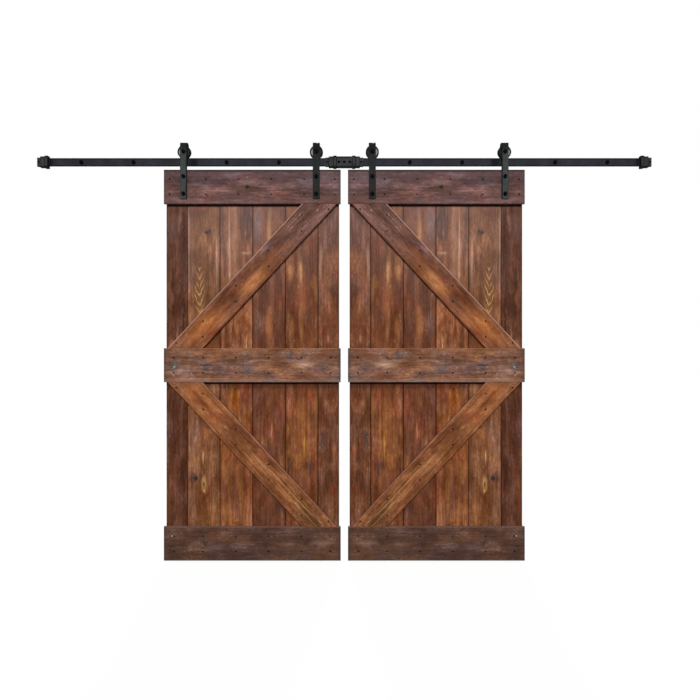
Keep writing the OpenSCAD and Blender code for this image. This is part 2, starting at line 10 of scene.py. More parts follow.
import bpy
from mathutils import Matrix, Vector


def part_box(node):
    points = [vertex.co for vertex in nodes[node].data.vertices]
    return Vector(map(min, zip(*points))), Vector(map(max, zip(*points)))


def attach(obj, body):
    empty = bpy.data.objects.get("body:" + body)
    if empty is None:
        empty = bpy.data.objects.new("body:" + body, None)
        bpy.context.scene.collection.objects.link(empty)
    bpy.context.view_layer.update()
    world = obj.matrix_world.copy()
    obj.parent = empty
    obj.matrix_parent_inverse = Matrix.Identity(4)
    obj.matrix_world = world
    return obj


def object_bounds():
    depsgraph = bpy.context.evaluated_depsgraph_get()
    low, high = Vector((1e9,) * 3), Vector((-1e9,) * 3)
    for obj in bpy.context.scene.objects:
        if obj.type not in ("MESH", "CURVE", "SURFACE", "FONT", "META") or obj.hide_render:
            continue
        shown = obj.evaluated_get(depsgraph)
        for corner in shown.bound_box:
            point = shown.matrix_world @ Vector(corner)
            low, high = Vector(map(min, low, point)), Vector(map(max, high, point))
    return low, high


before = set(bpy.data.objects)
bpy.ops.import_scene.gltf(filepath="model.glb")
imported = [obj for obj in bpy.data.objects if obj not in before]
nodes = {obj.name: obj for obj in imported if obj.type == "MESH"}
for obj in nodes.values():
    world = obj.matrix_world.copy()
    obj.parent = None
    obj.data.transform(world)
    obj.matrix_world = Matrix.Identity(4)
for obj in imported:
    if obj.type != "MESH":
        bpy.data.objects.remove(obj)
cad_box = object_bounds()
bpy.ops.object.select_all(action="DESELECT")
print("nodes", len(nodes), "box", [[round(x, 4) for x in corner] for corner in cad_box])

# %% [markdown]
# Four helpers serve the materials. Colours are written as sRGB hex, the way a colour picker shows them,
# but shaders add and multiply light, so the first helper turns them to linear values.
# The second adds a node with its settings and its links in one line. Nodes could be wired one by one,
# but this way a recipe reads from top to bottom. A node that is handed over stands for its first output.
# The last two start an empty material, and put a finish all over a solid.

# %% Colour and node helpers
MM = 0.001


def paint(code):
    """Linear RGBA of a colour written as sRGB hex."""
    parts = [int(code[i:i + 2], 16) / 255 for i in (1, 3, 5)]
    return [p / 12.92 if p <= 0.04045 else ((p + 0.055) / 1.055) ** 2.4 for p in parts] + [1]


def add(tree, kind, *values, **settings):
    """Adds a shader node. Values fill its inputs in order; settings are attributes, or inputs by name."""
    made = tree.nodes.new("ShaderNode" + kind)
    named = {}
    for key, value in settings.items():
        if hasattr(made, key):
            setattr(made, key, value)
        else:
            named[key.replace("_", " ")] = value
    filled = list(zip([socket for socket in made.inputs if socket.enabled], values))
    filled += [(made.inputs[key], value) for key, value in named.items()]
    for socket, value in filled:
        if isinstance(value, bpy.types.Node):
            value = next(output for output in value.outputs if output.enabled)
        if isinstance(value, bpy.types.NodeSocket):
            tree.links.new(value, socket)
        else:
            socket.default_value = value
    return made


def new_material(name):
    """An empty node material and its tree."""
    made = bpy.data.materials.new(name)
    made.use_nodes = True
    made.node_tree.nodes.clear()
    return made, made.node_tree


def dress(node_name, material):
    """Puts a finish in every material slot of a CAD node."""
    for slot in nodes[node_name].material_slots:
        slot.material = material


print("black is", [round(c, 4) for c in paint("#101114")])

# %% [markdown]
# The camera stands straight in front, level with the middle of the doors.
# A tilted camera would make the uprights lean together, so it looks along +Y with no turn.
# Its lens is worked out from the width that the picture spans at the doors' front face.

# %% Camera
# In metres, apart from the sensor and lens, which Blender counts in mm
VIEW_X, VIEW_Z = 0.031, -1.028
VIEW_WIDTH = 3.8185
VIEW_DISTANCE = 3.2
VIEW_REACH = 60
SENSOR = 36

front_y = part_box("left_top_board")[0].y
bpy.ops.object.camera_add(location=(VIEW_X, front_y - VIEW_DISTANCE, VIEW_Z), rotation=(math.pi / 2, 0, 0))
camera = bpy.context.object
camera.name = "camera"
camera.data.sensor_width = SENSOR
camera.data.lens = SENSOR * VIEW_DISTANCE / VIEW_WIDTH
camera.data.clip_end = VIEW_REACH
bpy.context.scene.camera = camera
bpy.context.scene.view_settings.view_transform = "Standard"
print("lens", round(camera.data.lens, 2), "mm")

# %% [markdown]
# The studio is white. The world shows plain white to the camera and in reflections, and gives a weaker,
# even light to everything else. More light could whiten the background too, but it would bleach the wood.

# %% World
AMBIENT = 0.1
PURE_WHITE = (1, 1, 1, 1)


def seen_directly(tree):
    """1 for what is seen, also in a mirror or through glass, and 0 for light that falls on a surface."""
    ray = add(tree, "LightPath")
    seen = add(tree, "Math", ray.outputs["Is Camera Ray"], ray.outputs["Is Glossy Ray"], operation="MAXIMUM")
    return add(tree, "Math", seen, ray.outputs["Is Transmission Ray"], operation="MAXIMUM")


world = bpy.data.worlds.new("white studio")
bpy.context.scene.world = world
world.use_nodes = True
tree = world.node_tree
tree.nodes.clear()
soft = add(tree, "Background", PURE_WHITE, AMBIENT)
white = add(tree, "Background", PURE_WHITE, 1)
add(tree, "OutputWorld", add(tree, "MixShader", seen_directly(tree), soft, white))
print("ambient", AMBIENT)

# %% [markdown]
# The floor lies a finger's width under the doors, as it does under real ones. A plain white floor would show
# grey where the light is weak, so it glows a little where it is seen directly,
# and the share of its own lit colour that is left keeps the doors' soft shadow.

# %% Floor
FLOOR_SIZE, FLOOR_GAP = 40, 12 * MM
FLOOR_GLOW, GLOW_STRENGTH = 0.7, 1.29
bpy.ops.mesh.primitive_plane_add(size=FLOOR_SIZE, location=(0, 0, cad_box[0].z - FLOOR_GAP))
floor = bpy.context.object
floor.name = "floor"
floor_paint, tree = new_material("matt white floor")
share = add(tree, "Math", seen_directly(tree), FLOOR_GLOW, operation="MULTIPLY")
matt = add(tree, "BsdfDiffuse", paint("#b4b4b4"))
glow = add(tree, "Emission", PURE_WHITE, GLOW_STRENGTH)
add(tree, "OutputMaterial", add(tree, "MixShader", share, matt, glow))
floor.data.materials.append(floor_paint)
print("floor at", round(cad_box[0].z - FLOOR_GAP, 3))

# %% [markdown]
# Three lamps do the rest. A small sun from above and in front draws the dark line under each board and brace,
# where a softbox alone would leave the doors flat. A weaker, broader one from behind lights the backs.
# A wide softbox above the camera mirrors in the satin coat and gives the tops of the doors a pale sheen.

# %% Lamps
SUNS = {
    # name: strength, angle of the disc and height in degrees, side it stands on
    "front sun": (2.66, 3, 35, 1),
    "back sun": (2.0, 12, 38, -1),
}
BOX_POWER, BOX_SIZE = 16, (3.6, 0.9)
BOX_PLACE, BOX_TILT = (0, -3.0, 0.95), 64

for name, (strength, disc, height, side) in SUNS.items():
    bpy.ops.object.light_add(type="SUN", rotation=(side * math.radians(90 - height), 0, 0))
    sun = bpy.context.object
    sun.name = name
    sun.data.energy = strength
    sun.data.angle = math.radians(disc)

bpy.ops.object.light_add(type="AREA", location=BOX_PLACE, rotation=(math.radians(BOX_TILT), 0, 0))
softbox = bpy.context.object
softbox.name = "softbox"
softbox.data.shape = "RECTANGLE"
softbox.data.size, softbox.data.size_y = BOX_SIZE
softbox.data.energy = BOX_POWER

# %% [markdown]
# The doors are knotty pine, sawn flat, brushed with a walnut stain and sealed with a satin coat.
# Stain soaks into the soft wood and runs off the hard rings, so the grain shows pale lines in a dark ground,
# with smoky patches where it lay thick and honey ones where it was wiped off.
# A picture of wood could be wrapped on each board, but its ends and sides would not agree with its faces.
# Here the wood is solid: every point is asked for its place in its own board, and all faces show one log.
# The right door is hung as the mirror image of the left, so both read the left door's place.
# What varies over that place is noise, soft random hills that are stretched along the grain.

# %% Place in a board, and layers of noise
# Layer: size of a hill across, into and along the grain in mm, detail, and shift of the pattern.
# Fibres and hairs are drawn coarser than real ones, which are finer than a pixel of the picture.
LAYERS = {
    "wander": ((60, 80, 330), 2, 3.1),
    "patch": ((85, 60, 170), 3, 9.4),
    "streak": ((34, 40, 700), 3, 0),
    "fibre": ((11, 12, 130), 3, 7.7),
    "hair": ((6, 6, 22), 1, 5.2),
    "mottle": ((22, 22, 40), 4, 4.6),
    "blotch": ((70, 60, 160), 2, 8.1),
    "fleck": ((6, 7, 17), 2, 2.3),
}
NOISE_ROUGHNESS = 0.55
SEED_Y, SEED_Z = 1.7, 0.6


def board_place(tree, centre, turn):
    """A point's place in its board on the left door: X across the face, Y into it and Z along the grain."""
    spot = add(tree, "SeparateXYZ", add(tree, "TexCoord").outputs["Object"])
    left_x = add(tree, "Math", spot.outputs["X"], operation="ABSOLUTE")
    left_x = add(tree, "Math", left_x, -1, operation="MULTIPLY")
    left = add(tree, "CombineXYZ", left_x, spot.outputs["Y"], spot.outputs["Z"])
    return add(tree, "Mapping", left, centre, (0, math.radians(turn), 0), vector_type="TEXTURE")


def noise_layers(tree, place, seed, names):
    """The named layers of noise. A board's seed moves them, so that no two boards are alike."""
    made = {}
    for name in names:
        hill, detail, shift = LAYERS[name]
        start = (seed + shift, seed * SEED_Y, seed * SEED_Z + shift)
        fit = add(tree, "Mapping", place, start, (0, 0, 0), [1 / (size * MM) for size in hill])
        made[name] = add(tree, "TexNoise", fit, 1, detail, NOISE_ROUGHNESS)
    return made


print("noise layers", list(LAYERS))

# %% [markdown]
# Grain is never quite straight. It wanders from side to side, and it flows round a knot,
# because the trunk grew round the branch. Curved lines could be drawn one by one;
# it is simpler to bend the place that a straight pattern is read from.
# Near a knot, the place across is drawn in towards the knot's middle.

# %% Bent grain
NOISE_MEAN = 0.5
WANDER_REACH = 11 * MM
KNOT_PULL, KNOT_REACH = 0.85, (2.6, 3.4)


def oval_reach(tree, place, across, up, half_w, half_l, deep):
    """How far a point lies from the middle of an oval, where 1 is its rim. Sizes in mm, depth in metres."""
    fit = add(tree, "Mapping", place, (across * MM, 0, up * MM), (0, 0, 0),
              (half_w * MM, deep, half_l * MM), vector_type="TEXTURE")
    return add(tree, "VectorMath", fit, operation="LENGTH").outputs["Value"]


def bend_grain(tree, board, wander, knots):
    """The place in a board with loose grain, and once more with the grain also bent round the knots."""
    drift = add(tree, "VectorMath", wander.outputs["Color"], [NOISE_MEAN] * 3, operation="SUBTRACT")
    swing = (2 * WANDER_REACH, 2 * WANDER_REACH, 0)
    loose = add(tree, "VectorMath", drift, swing, board, operation="MULTIPLY_ADD")
    bent = loose
    for across, up, half_w, half_l, *_ in knots:
        reach = oval_reach(tree, loose, across, up, KNOT_REACH[0] * half_w, KNOT_REACH[1] * half_l, 1)
        pull = add(tree, "MapRange", reach, 1, 0, 0, -KNOT_PULL, interpolation_type="SMOOTHSTEP")
        pull = add(tree, "CombineXYZ", pull, 0, 0)
        aside = add(tree, "VectorMath", bent, (across * MM, 0, 0), operation="SUBTRACT")
        bent = add(tree, "VectorMath", aside, pull, bent, operation="MULTIPLY_ADD")
    return loose, bent


print("grain wanders by", WANDER_REACH / MM, "mm")

# %% [markdown]
# A sawn face cuts the rings of the log, whose heart lies aside of and behind the face.
# They show as lines along the board, and as curves on its ends. Rings alone look like a drawing,
# so streaks, fibres, hairs, mottling and blotches are added, each less its own mean.
# The sum stands around 0: above it the grain is pale, below it dark.

# %% Depth of the grain
FIBRE_WEIGHT, HAIR_WEIGHT, BLOTCH_WEIGHT = 0.6, 0.4, 0.9


def grain_depth(tree, bent, layers, look):
    """How pale or dark the grain is, from the rings of the log and the layers of noise."""
    heart_x, heart_y, taper, ring_w, ring_show = look["log"]
    radial = add(tree, "VectorMath", bent, (1, 1, 0), (-heart_x, -heart_y, 0), operation="MULTIPLY_ADD")
    radial = add(tree, "VectorMath", radial, operation="LENGTH").outputs["Value"]
    along = add(tree, "SeparateXYZ", bent).outputs["Z"]
    slant = add(tree, "Math", along, -taper, radial, operation="MULTIPLY_ADD")
    ring = add(tree, "Math", slant, 2 * math.pi / ring_w, operation="MULTIPLY")
    ring = add(tree, "Math", ring, operation="SINE")
    depth = add(tree, "Math", ring, ring_show, operation="MULTIPLY")
    weights = {"streak": look["streak"], "fibre": FIBRE_WEIGHT, "hair": HAIR_WEIGHT,
               "mottle": look["mottle"], "blotch": BLOTCH_WEIGHT}
    for name, weight in weights.items():
        centred = add(tree, "Math", layers[name], NOISE_MEAN, operation="SUBTRACT")
        depth = add(tree, "Math", centred, weight, depth, operation="MULTIPLY_ADD")
    return depth


print("weights of fibre, hair and blotch", FIBRE_WEIGHT, HAIR_WEIGHT, BLOTCH_WEIGHT)

# %% [markdown]
# The stain isn't one colour. Red heartwood, honey sapwood and smoky patches lie where noise puts them,
# while flames, wiped spots and knots have their own places on each board, as ovals in its face.
# A plain oval would look stuck on, so noise frays its rim. Knots go through, marks stay near the face.

# %% Stain, marks and knots
RUST, HONEY, SMOKE = "#74331d", "#9a6232", "#54464a"
PATCHES = {"rust": ("Green", RUST), "honey": ("Blue", HONEY), "smoke": ("Red", SMOKE)}
PATCH_RIM, OVAL_RIM, FRAY = (0.5, 0.68), (1.2, 0.25), 1.2
MARK_DEPTH, KNOT_DEPTH = 14 * MM, 80 * MM


def stain_colour(tree, loose, patch, layers, look):
    """The stain's tone with its patches, marks and knots. Each patch reads a channel of its own."""
    channels = add(tree, "SeparateColor", patch.outputs["Color"])
    colour = paint(look["tone"])
    for name, (channel, code) in PATCHES.items():
        mask = add(tree, "MapRange", channels.outputs[channel], *PATCH_RIM, 0, look[name],
                   interpolation_type="SMOOTHSTEP")
        colour = add(tree, "Mix", mask, colour, paint(code), data_type="RGBA")
    frayed = add(tree, "Math", layers["mottle"], layers["fibre"], operation="ADD")
    frayed = add(tree, "Math", frayed, FRAY, -FRAY, operation="MULTIPLY_ADD")
    ovals = [(mark, MARK_DEPTH) for mark in look["marks"]]
    ovals += [(knot, KNOT_DEPTH) for knot in look.get("knots", [])]
    for (across, up, half_w, half_l, code, amount), deep in ovals:
        reach = oval_reach(tree, loose, across, up, half_w, half_l, deep)
        reach = add(tree, "Math", reach, frayed, operation="ADD")
        mask = add(tree, "MapRange", reach, *OVAL_RIM, 0, amount, interpolation_type="SMOOTHSTEP")
        colour = add(tree, "Mix", mask, colour, paint(code), data_type="RGBA")
    return colour


print("patches", list(PATCHES))

# %% [markdown]
# Grain and flecks come over the stain. The grain could be mixed in as a brown, but then every patch
# would fade to that brown; multiplied in, it keeps each patch's own hue. Deep stain is redder
# and thin stain greyer, so it changes green and blue more than red.
# Flecks are bare wood that the stain left out, gathered in clusters.

# %% Grain and flecks
CONTRAST = (9, 14, 24)
PALE, SPARSE, FLECK_EASE = "#bd9274", 0.61, 0.13
CLUSTER_RIM, CLUSTER_LEAST = (0.42, 0.6), 0.1


def lay_grain(tree, colour, depth, layers, look):
    """Lets the grain lighten or darken the stain, and lays flecks over both."""
    gain = add(tree, "VectorMath", CONTRAST, depth, operation="POWER")
    colour = add(tree, "VectorMath", colour, gain, operation="MULTIPLY")
    sparse = look.get("sparse", SPARSE)
    mask = add(tree, "MapRange", layers["fleck"], sparse, sparse + FLECK_EASE, 0, look["fleck"],
               interpolation_type="SMOOTHSTEP")
    cluster = add(tree, "MapRange", layers["blotch"], *CLUSTER_RIM, CLUSTER_LEAST, 1)
    mask = add(tree, "Math", mask, cluster, operation="MULTIPLY")
    return add(tree, "Mix", mask, colour, paint(look.get("pale", PALE)), data_type="RGBA")


print("contrast of red, green and blue", CONTRAST)

# %% [markdown]
# Where the saw ran along the side of a tapering log, its rings come out as pale arches, one in the other,
# like a row of roofs. The rings above could give them too, but only with that one log's taper,
# and then over the whole board. So they are lines of their own in an oval: the distance from its middle line,
# less a share of the place along the grain, grows by a ring's width from arch to arch.

# %% Arches
ARCH_TIP, ARCH_SHAKE = 4 * MM, 22 * MM
ARCH_BREAK, ARCH_LEAST = (0.38, 0.55), 0.15
ARCH_LINE, ARCH_RIM = 0.4, (1.1, 0.5)


def draw_arches(tree, colour, bent, mottle, arches):
    """Draws arches of pale grain, which are shaken and broken by the mottling."""
    for across, up, half_w, half_l, slope, ring_w, code, amount in arches:
        reach = oval_reach(tree, bent, across, up, half_w, half_l, MARK_DEPTH)
        mask = add(tree, "MapRange", reach, *ARCH_RIM, 0, 1, interpolation_type="SMOOTHSTEP")
        spot = add(tree, "Mapping", bent, (across * MM, 0, up * MM), vector_type="TEXTURE")
        spot = add(tree, "SeparateXYZ", spot)
        tip = add(tree, "CombineXYZ", spot.outputs["X"], ARCH_TIP, 0)
        tip = add(tree, "VectorMath", tip, operation="LENGTH").outputs["Value"]
        curve = add(tree, "Math", spot.outputs["Z"], -slope, tip, operation="MULTIPLY_ADD")
        curve = add(tree, "Math", mottle, ARCH_SHAKE, curve, operation="MULTIPLY_ADD")
        line = add(tree, "Math", curve, 2 * math.pi / (ring_w * MM), operation="MULTIPLY")
        line = add(tree, "Math", line, operation="SINE")
        line = add(tree, "MapRange", line, ARCH_LINE, 1, 0, amount)
        broken = add(tree, "MapRange", mottle, *ARCH_BREAK, ARCH_LEAST, 1)
        line = add(tree, "Math", line, broken, operation="MULTIPLY")
        mask = add(tree, "Math", mask, line, operation="MULTIPLY")
        colour = add(tree, "Mix", mask, colour, paint(code), data_type="RGBA")
    return colour


print("arches shake by", ARCH_SHAKE / MM, "mm")

# %% [markdown]
# Stain gathers in joints, and the ends of the boards are darker, with painted shade at the very end.
# Painted shadow lies on the face under a board that is nailed across, upper edges are pale, as wear and as
# painted highlight, and painted sheen lies high on the planks. It could be painted on the mesh by hand,
# but the solids are left as they are, so bands and lines in the board's own axes do it.

# %% Joints, edges, painted sheen and painted shadow lines
LINE_DEPTH, LINE_CORE = 4 * MM, 0.4


def paint_stain_sheen_and_shade(tree, colour, board, look):
    """Bands run from one place on an axis to another; lines lie on the face, about a place on an axis."""
    face = add(tree, "SeparateXYZ", board)
    for axis, start, end, code, amount in look["bands"]:
        mask = add(tree, "MapRange", face.outputs[axis], start * MM, end * MM, 0, amount,
                   interpolation_type="SMOOTHSTEP")
        colour = add(tree, "Mix", mask, colour, paint(code), data_type="RGBA")
    # The lines are painted shadow, laid under the boards.
    for axis, at, half, code, amount in look.get("lines", []):
        away = add(tree, "Math", face.outputs[axis], at * MM, operation="SUBTRACT")
        away = add(tree, "Math", away, operation="ABSOLUTE")
        mask = add(tree, "MapRange", away, half * MM, half * LINE_CORE * MM, 0, amount,
                   interpolation_type="SMOOTHSTEP")
        on_face = add(tree, "MapRange", face.outputs["Y"], LINE_DEPTH, 0.5 * LINE_DEPTH, 0, 1)
        mask = add(tree, "Math", mask, on_face, operation="MULTIPLY")
        colour = add(tree, "Mix", mask, colour, paint(code), data_type="RGBA")
    return colour


print("lines go", LINE_DEPTH / MM, "mm deep")

# %% [markdown]
# These steps make up one recipe for a board. Its coat is satin, a little duller where the grain is dark,
# and the brushed fibres stand up by a fraction of a millimetre. The shine could follow the grain too,
# but an export keeps only a plain number for it, so each board has one.

# %% Stained pine
BROAD_LAYERS = ("wander", "patch")
DEPTH_SPAN, DULL, SATIN = 0.3, 0.58, 0.46
FIBRE_HEIGHT, HAIR_HEIGHT = 0.7, 0.3
RELIEF, RELIEF_SHOW = 0.5 * MM, 0.3


def stained_pine(name, centre, turn, seed, look):
    """A board of stained pine: its middle on the left door, the turn of its grain, its seed and its look."""
    made, tree = new_material(name)
    board = board_place(tree, centre, turn)
    broad = noise_layers(tree, board, seed, BROAD_LAYERS)
    loose, bent = bend_grain(tree, board, broad["wander"], look.get("knots", []))
    layers = noise_layers(tree, bent, seed, [layer for layer in LAYERS if layer not in BROAD_LAYERS])
    depth = grain_depth(tree, bent, layers, look)
    colour = stain_colour(tree, loose, broad["patch"], layers, look)
    colour = lay_grain(tree, colour, depth, layers, look)
    colour = draw_arches(tree, colour, bent, layers["mottle"], look.get("arches", []))
    colour = paint_stain_sheen_and_shade(tree, colour, board, look)
    rough = add(tree, "MapRange", depth, -DEPTH_SPAN, DEPTH_SPAN, DULL, SATIN)
    height = add(tree, "Math", layers["hair"], HAIR_HEIGHT, operation="MULTIPLY")
    height = add(tree, "Math", layers["fibre"], FIBRE_HEIGHT, height, operation="MULTIPLY_ADD")
    relief = add(tree, "Bump", Strength=RELIEF_SHOW, Distance=RELIEF, Height=height)
    skin = add(tree, "BsdfPrincipled", colour, Roughness=rough, Normal=relief,
               Specular_IOR_Level=look["gloss"])
    add(tree, "OutputMaterial", skin)
    return made


print("relief", RELIEF / MM, "mm")

# %% [markdown]
# Each board was cut from another part of a log and took the stain in its own way,
# so each has its tone, its place in the log and its knots. A board's place is read from its solid.
# The knots could be scattered at random, but a real door is known by where they sit, so they are listed.

# %% Looks of the planks
# tone is the stain's colour. painted_sheen and joint are the shares of the painted sheen high on a plank
# and of the stain in its joints, and smoke, rust, honey, fleck, streak and mottle those of the recipe's
# patches and layers.
# log is (heart across, heart depth, taper, ring width, show), in metres.
# knots and marks are (across, up, half width, half length, colour, share), in mm from the plank's middle.
# arches are (across, up, half width, half length, slope, ring width, colour, share).
PLANKS = {
    1: {"tone": "#593627", "painted_sheen": 0.07, "joint": 0.3, "log": (0.02, 0.05, 0.03, 0.011, 0.02),
        "smoke": 0.2, "rust": 0.3, "honey": 0.1, "fleck": 0.25, "streak": 0.9, "mottle": 0.4,
        "marks": [(0, 300, 60, 220, "#3f2117", 0.5), (-38, 409, 9, 250, "#7d4a28", 0.35),
                  (-38, -737, 9, 250, "#86502a", 0.6), (28, 627, 22, 420, "#40261f", 0.5)]},
    2: {"tone": "#774c31", "painted_sheen": 0.22, "joint": 0.35, "log": (-0.022, 0.04, 0.03, 0.010, 0.03),
        "smoke": 0.2, "rust": 0.4, "honey": 0.3, "fleck": 0.6, "streak": 0.6, "mottle": 0.4,
        "knots": [(15, 727, 13, 8, "#241614", 0.9), (30, 737, 7, 11, "#2a1a18", 0.9),
                  (-42, -620, 13, 9, "#2c2022", 0.8)],
        "marks": [(21, 731, 34, 28, "#5e433a", 0.45), (70, 560, 9, 260, "#a98468", 0.5),
                  (-17, 380, 30, 180, "#a9764a", 0.45), (-80, 600, 5, 330, "#b09a98", 0.5),
                  (-60, 560, 12, 200, "#8d6a52", 0.5), (0, -502, 5, 40, "#d2a066", 0.8),
                  (-45, -615, 40, 30, "#3d2d2b", 0.8), (58, -620, 26, 9, "#5a3a2a", 0.6),
                  (2, -659, 18, 54, "#c59a5c", 0.95), (2, -655, 9, 28, "#5f3d24", 0.9),
                  (3, -692, 8, 10, "#d8b48a", 0.7)],
        "arches": [(-22, 400, 30, 190, 0.4, 19, "#d9b27a", 0.6)]},
    3: {"tone": "#814e31", "painted_sheen": 0.28, "joint": 0.65, "log": (0.03, 0.045, 0.03, 0.011, 0.02),
        "smoke": 0.15, "rust": 0.6, "honey": 0.4, "fleck": 0.5, "streak": 1.0, "mottle": 0.4,
        "marks": [(-72, 700, 16, 300, "#5f4338", 0.7), (-18, 690, 44, 320, "#ad7b5e", 0.85),
                  (-36, 700, 6, 260, "#c8a288", 0.7), (56, 790, 44, 140, "#4b3735", 0.8),
                  (0, 140, 90, 80, "#5c3320", 0.75), (55, 615, 32, 9, "#b59484", 0.5),
                  (60, 577, 26, 26, "#3f2d2c", 0.6), (50, 245, 40, 80, "#7a3f22", 0.5),
                  (55, 270, 14, 30, "#a06a40", 0.5), (-6, -195, 38, 95, "#b3682f", 0.75),
                  (-59, -109, 14, 26, "#4a3a20", 0.5), (-22, -150, 7, 36, "#cf9250", 0.55),
                  (12, -152, 7, 32, "#cf9250", 0.55), (-37, -710, 8, 150, "#a06a34", 0.6),
                  (23, -710, 12, 150, "#a06a34", 0.6)],
        "knots": [(-4, -131, 10, 9, "#2a1a14", 0.8)]},
    4: {"tone": "#683d2a", "painted_sheen": 0.28, "joint": 0.65, "log": (0.01, 0.05, 0.03, 0.011, 0.02),
        "smoke": 0.15, "rust": 0.55, "honey": 0.25, "fleck": 0.35, "streak": 0.5, "mottle": 0.3,
        "marks": [(-66, 780, 34, 130, "#6b5a56", 0.65), (4, 770, 52, 160, "#8d543a", 0.6),
                  (-1, 735, 15, 95, "#bd8a5c", 0.8), (4, 840, 16, 44, "#b08a70", 0.5),
                  (-55, 220, 26, 130, "#5d4a44", 0.5), (2, 240, 22, 150, "#9a5f3a", 0.6),
                  (60, 240, 14, 130, "#6f5148", 0.4), (13, -355, 3, 60, "#b87c44", 0.6),
                  (-36, -785, 12, 10, "#a2683c", 0.6), (58, -800, 40, 60, "#4a3d38", 0.35),
                  (-10, -790, 60, 60, "#75482f", 0.5), (-14, -745, 24, 36, "#874a35", 0.5)]},
    5: {"tone": "#704128", "painted_sheen": 0.24, "joint": 0.55, "log": (-0.02, 0.045, 0.03, 0.011, 0.02),
        "smoke": 0.15, "rust": 0.6, "honey": 0.4, "fleck": 0.5, "streak": 0.7, "mottle": 0.35,
        "marks": [(-71, 300, 20, 500, "#4c2e22", 0.6), (-66, 507, 18, 56, "#9c6438", 0.6),
                  (-14, 540, 14, 100, "#a97048", 0.7), (-3, 505, 12, 100, "#bd8e62", 0.7),
                  (10, 364, 54, 120, "#8a4a30", 0.55), (41, 272, 38, 76, "#69473a", 0.5),
                  (-4, 234, 13, 150, "#a9744a", 0.5), (-19, 431, 10, 12, "#b89070", 0.4),
                  (8, -400, 40, 250, "#955a2e", 0.4), (14, -450, 6, 80, "#d0944f", 0.55),
                  (47, -545, 26, 60, "#4a3434", 0.6), (-68, -545, 12, 80, "#3f3030", 0.5)]},
    6: {"tone": "#6d432d", "painted_sheen": 0.12, "joint": 0.65, "log": (0.02, 0.045, 0.03, 0.011, 0.02),
        "smoke": 0.2, "rust": 0.5, "honey": 0.1, "fleck": 0.5, "streak": 0.55, "mottle": 0.4,
        "marks": [(20, 780, 64, 180, "#684a45", 0.6), (11, 762, 16, 54, "#8c5f54", 0.6),
                  (-44, 565, 11, 130, "#9d7864", 0.65), (11, 300, 22, 130, "#94593f", 0.5),
                  (-2, 146, 10, 28, "#b5735a", 0.6), (45, 180, 8, 70, "#a0522c", 0.5),
                  (-21, -210, 16, 30, "#a8764a", 0.4), (-32, -400, 16, 80, "#4a4444", 0.65),
                  (31, -460, 14, 40, "#a65f30", 0.5)]},
}
print("marks on each plank", {k: len(look["marks"]) for k, look in PLANKS.items()})

# %% [markdown]
# Stain gathers in the joints between the planks, and painted sheen, a pale bloom high on a door,
# stands for the shine of the satin coat.
# Under the top and middle boards, painted shadow draws dark lines. The lower one fades out slowly,
# so it is drawn twice. They could be left to the boards' own shadows, but those are narrower,
# and go when the light comes from elsewhere. Planks lie behind the boards and are rubbed less,
# so they shine less.

# %% Planks
# Bands are (axis, start, end, colour, share) and lines (axis, middle, half width, colour, share), in mm.
# A joint's stain starts at a distance from the plank's edge and is full at a smaller one.
TONGUE = 8 * MM
PLANK_GLOSS, PLANK_SEED = 0.04, 11.3
JOINT_STAIN, JOINT_START, JOINT_FULL = "#1c0d09", 5, 1
# A pale painted sheen high on each plank, for the shine of the satin coat.
PAINTED_SHEEN, SHEEN_START, SHEEN_FULL = "#94807c", 150, 950
# Painted shadow under the top and middle boards: sharp lines, and a soft one below the middle board.
PAINTED_SHADOW = "#0f0504"
PAINTED_SHADOW_LINES = [("Z", 881, 19, PAINTED_SHADOW, 0.97), ("Z", -93, 17, PAINTED_SHADOW, 0.88),
               ("Z", -93, 48, PAINTED_SHADOW, 0.42)]
for k, look in PLANKS.items():
    low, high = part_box(f"left_plank_{k}")
    inner_x = high.x - (TONGUE if k < len(PLANKS) else 0)
    half = (inner_x - low.x) / 2 / MM
    start, full = half - JOINT_START, half - JOINT_FULL
    look["bands"] = [("X", side * start, side * full, JOINT_STAIN, look["joint"]) for side in (-1, 1)]
    look["bands"].append(("Z", SHEEN_START, SHEEN_FULL, PAINTED_SHEEN, look["painted_sheen"]))
    look["lines"] = PAINTED_SHADOW_LINES
    look["gloss"] = PLANK_GLOSS
    middle = ((low.x + inner_x) / 2, low.y, (low.z + high.z) / 2)
    wood = stained_pine(f"stained pine plank {k}", middle, 0, PLANK_SEED * k, look)
    for side in ("left", "right"):
        dress(f"{side}_plank_{k}", wood)
print("planks", len(PLANKS), "last one", round(2 * half), "mm wide")
